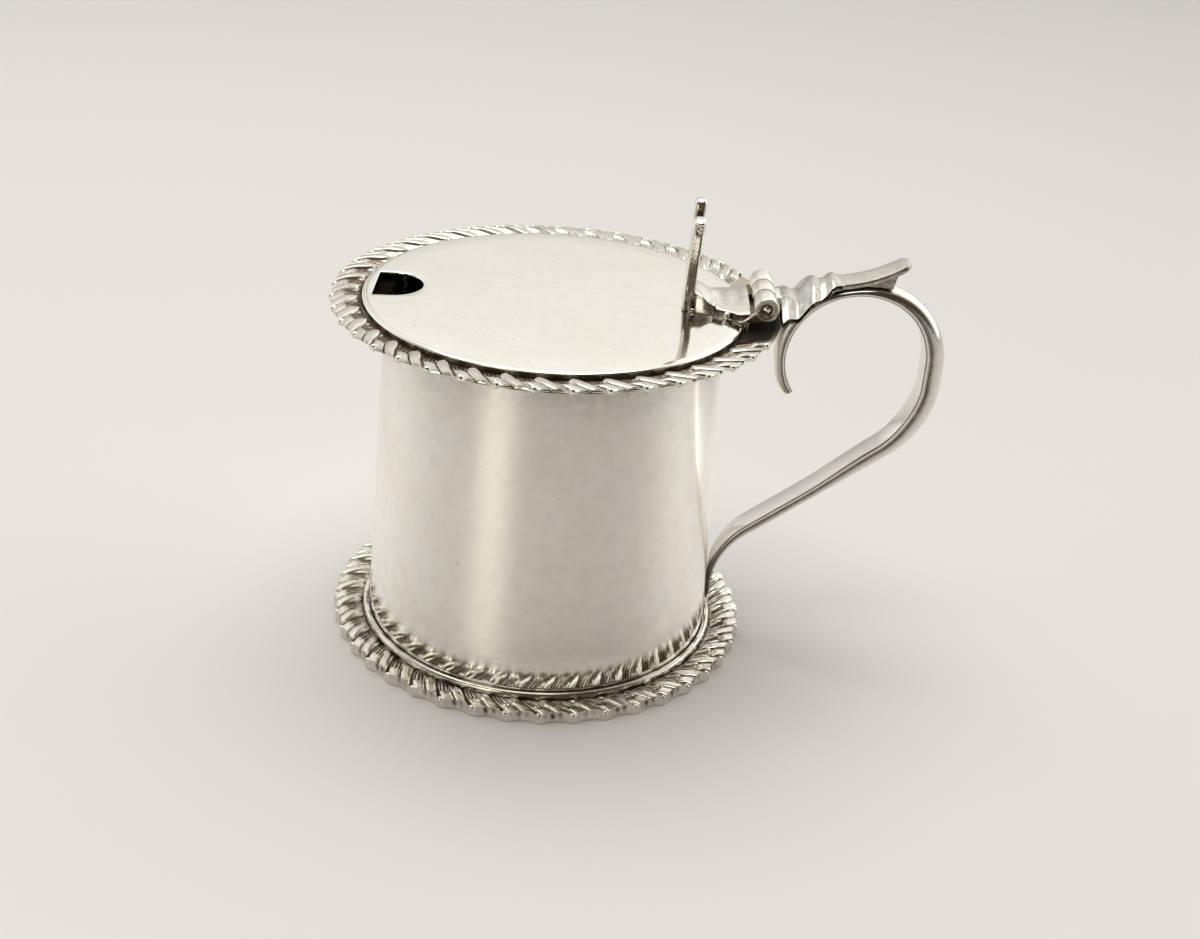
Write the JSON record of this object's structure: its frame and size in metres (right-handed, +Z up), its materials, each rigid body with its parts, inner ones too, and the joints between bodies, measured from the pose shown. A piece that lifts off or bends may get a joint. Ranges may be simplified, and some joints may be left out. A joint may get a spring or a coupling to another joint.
{
  "type": "mustard pot",
  "caption": "Drum mustard pot in silver: gadrooned rim and foot, flat hinged lid with spoon slot and thumbpiece, scroll handle with spur, glass liner",
  "frame": {"origin": "centre of the flat underside, on the table", "axes": "+Z up, +X from the drum's axis to the handle, +Y along the hinge pin"},
  "size_m": [0.1018, 0.0737, 0.0765],
  "materials": {
    "silver": "polished silver, softened by wear",
    "aged_silver": "silver with brown tarnish in the recesses",
    "liner_glass": "clear cobalt blue glass"
  },
  "bodies": {
    "pot": {"base_plate": "aged_silver", "foot_border": "aged_silver", "foot_wire": "silver", "drum_wall": "silver", "rim_flange": "aged_silver", "rim_border": "aged_silver", "hinge_plate": "aged_silver", "glass_liner": "liner_glass", "handle_strap": "silver", "handle_leaf": "silver", "handle_spur": "silver", "handle_knuckle": "silver", "hinge_pin": "aged_silver"},
    "lid": {"lid_plate": "silver", "lid_edge_wire": "aged_silver", "lid_bezel": "aged_silver", "lid_leaf": "silver", "thumbpiece": "silver", "lid_knuckle_near": "silver", "lid_knuckle_far": "silver"}
  },
  "joints": [
    {"name": "lid_hinge", "type": "hinge", "parent": "pot", "child": "lid", "pos_m": [0.034, 0, 0.0623], "axis": [0, 1, 0], "range_deg": [0, 110]}
  ]
}
